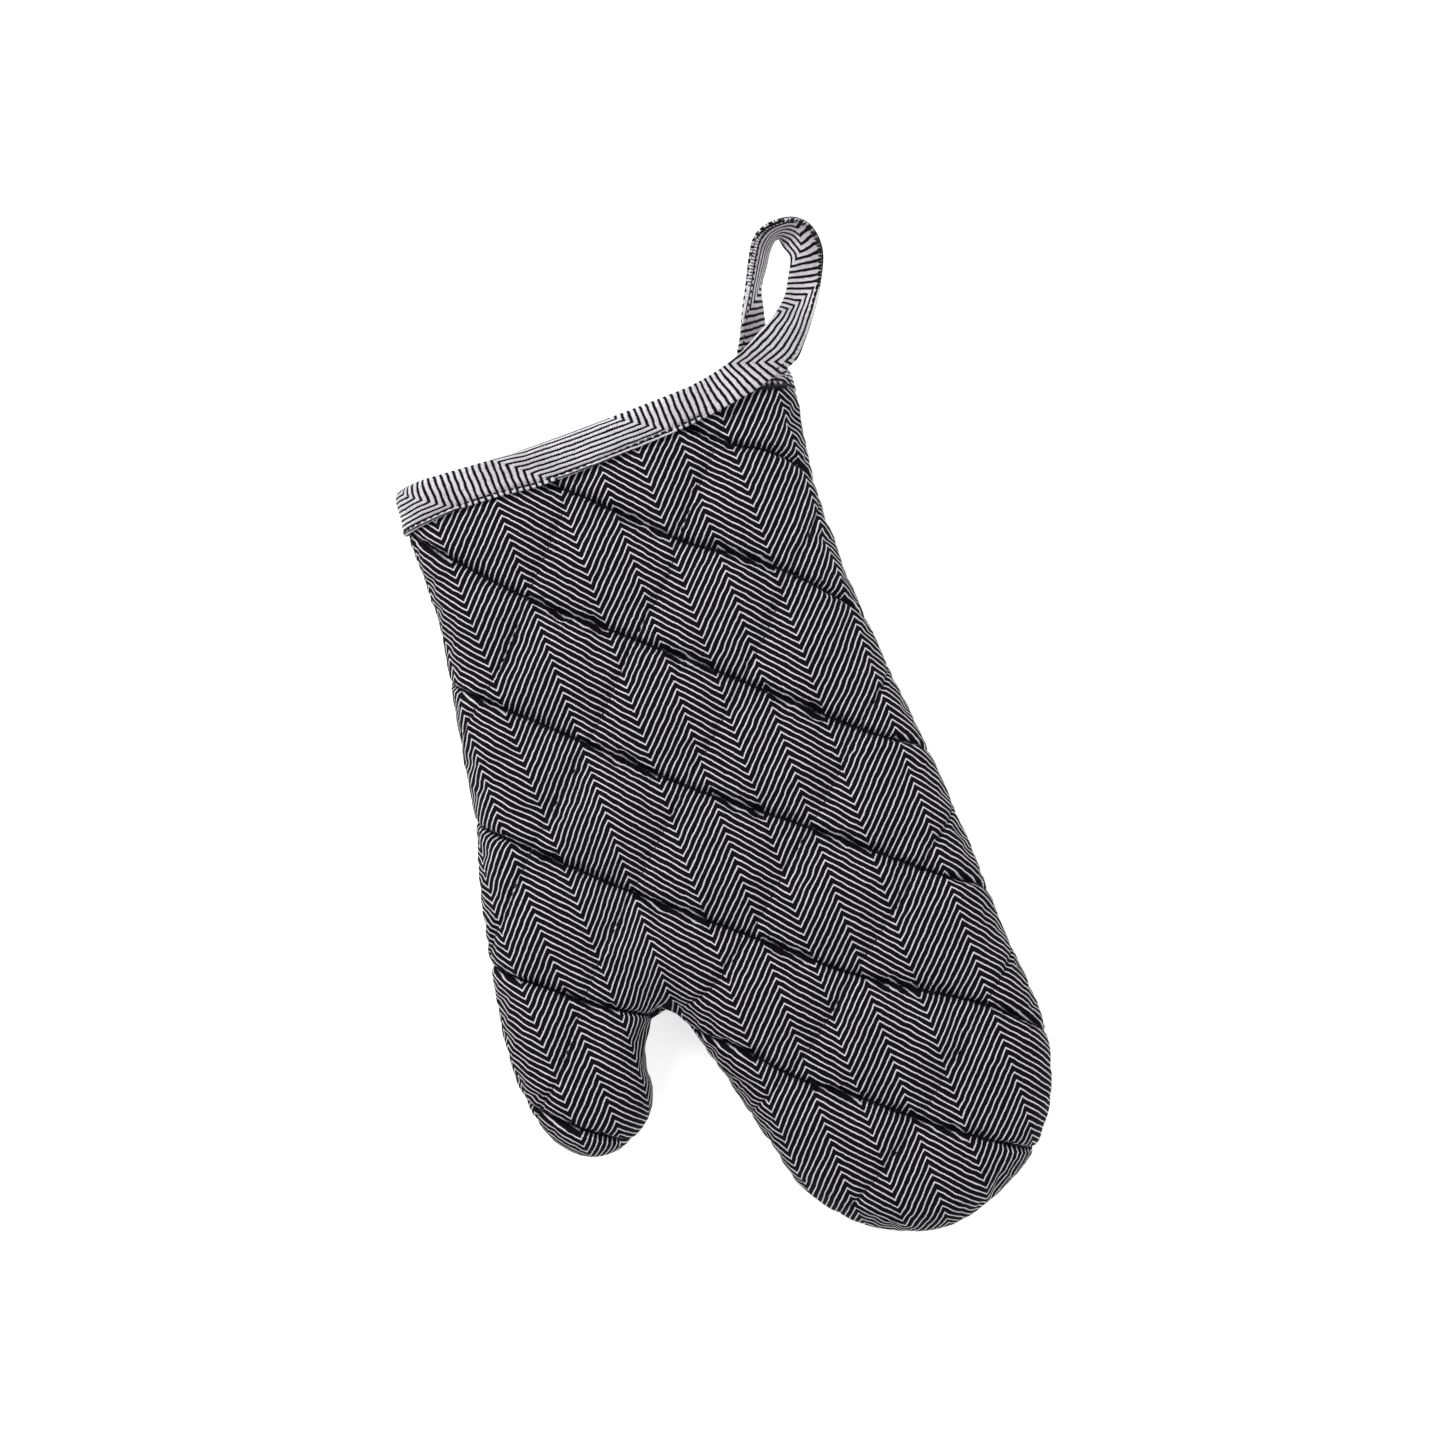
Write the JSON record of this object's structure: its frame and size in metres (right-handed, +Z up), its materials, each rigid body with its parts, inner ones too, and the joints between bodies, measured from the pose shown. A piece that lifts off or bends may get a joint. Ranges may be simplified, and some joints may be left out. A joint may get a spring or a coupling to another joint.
{
  "type": "oven mitt",
  "caption": "Quilted fabric oven mitt with one thumb, a bound cuff and a hanging loop, lying flat; the fingers and the thumb fold over the palm.",
  "frame": {"origin": "centre of the whole part's bounding box, at the height of the surface it lies on", "axes": "+Z up through the mitt's thickness, palm side up; +Y along the mitt, from the fingertips to the cuff; +X across it, away from the thumb"},
  "size_m": [0.1901, 0.3444, 0.03],
  "materials": {
    "outer_fabric": "near-black cotton twill with thin off-white herringbone stripes",
    "tape_fabric": "the same twill's pale reverse side, cut on the bias",
    "wadding_fill": "soft off-white cotton wadding",
    "lining_fabric": "plain black cotton, matt",
    "sewing_thread": "black sewing thread"
  },
  "bodies": {
    "palm": {"outer_front_palm": "outer_fabric", "outer_back_palm": "outer_fabric", "wadding_front_palm": "wadding_fill", "wadding_back_palm": "wadding_fill", "lining_front_palm": "lining_fabric", "lining_back_palm": "lining_fabric", "cuff_binding": "tape_fabric", "binding_topstitch": "sewing_thread", "loop_bartack": "sewing_thread"},
    "fingers": {"outer_front_fingers": "outer_fabric", "outer_back_fingers": "outer_fabric", "wadding_front_fingers": "wadding_fill", "wadding_back_fingers": "wadding_fill", "lining_front_fingers": "lining_fabric", "lining_back_fingers": "lining_fabric"},
    "thumb": {"outer_front_thumb": "outer_fabric", "outer_back_thumb": "outer_fabric", "wadding_front_thumb": "wadding_fill", "wadding_back_thumb": "wadding_fill", "lining_front_thumb": "lining_fabric", "lining_back_thumb": "lining_fabric"},
    "loop": {"hanging_loop": "tape_fabric"}
  },
  "joints": [
    {"name": "finger_fold", "type": "hinge", "parent": "palm", "child": "fingers", "pos_m": [0.025, -0.084, 0.015], "axis": [-1, 0, 0], "range_deg": [0, 60]},
    {"name": "thumb_fold", "type": "hinge", "parent": "palm", "child": "thumb", "pos_m": [-0.047, -0.076, 0.015], "axis": [-0.7513, 0.66, 0], "range_deg": [0, 60]},
    {"name": "loop_swing", "type": "hinge", "parent": "palm", "child": "loop", "pos_m": [0.066, 0.13, 0.015], "axis": [1, 0, 0], "range_deg": [-75, 75]}
  ]
}
